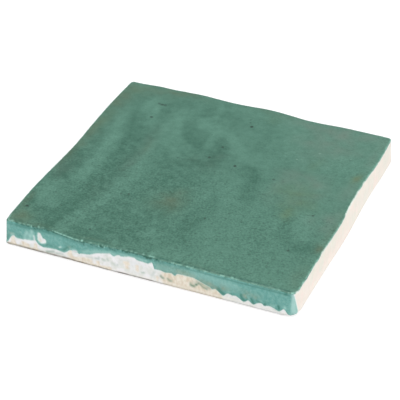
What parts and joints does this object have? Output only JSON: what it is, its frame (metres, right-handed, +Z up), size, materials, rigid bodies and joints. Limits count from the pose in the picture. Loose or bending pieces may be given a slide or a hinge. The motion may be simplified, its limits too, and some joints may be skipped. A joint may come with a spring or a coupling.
{
  "type": "ceramic wall tile",
  "caption": "Square hand-made ceramic wall tile with an undulating green glazed face, glaze runs down its cut walls and a flat bedding face.",
  "frame": {"origin": "middle of the underside, on the floor that the tile lies on", "axes": "+Z up through the glazed face, +X along the front wall, +Y from the front wall to the back wall"},
  "size_m": [0.1012, 0.0996, 0.01],
  "materials": {
    "glazed_clay": "green glaze, satin"
  },
  "bodies": {
    "root": {"wall_tile": "glazed_clay"}
  },
  "joints": []
}
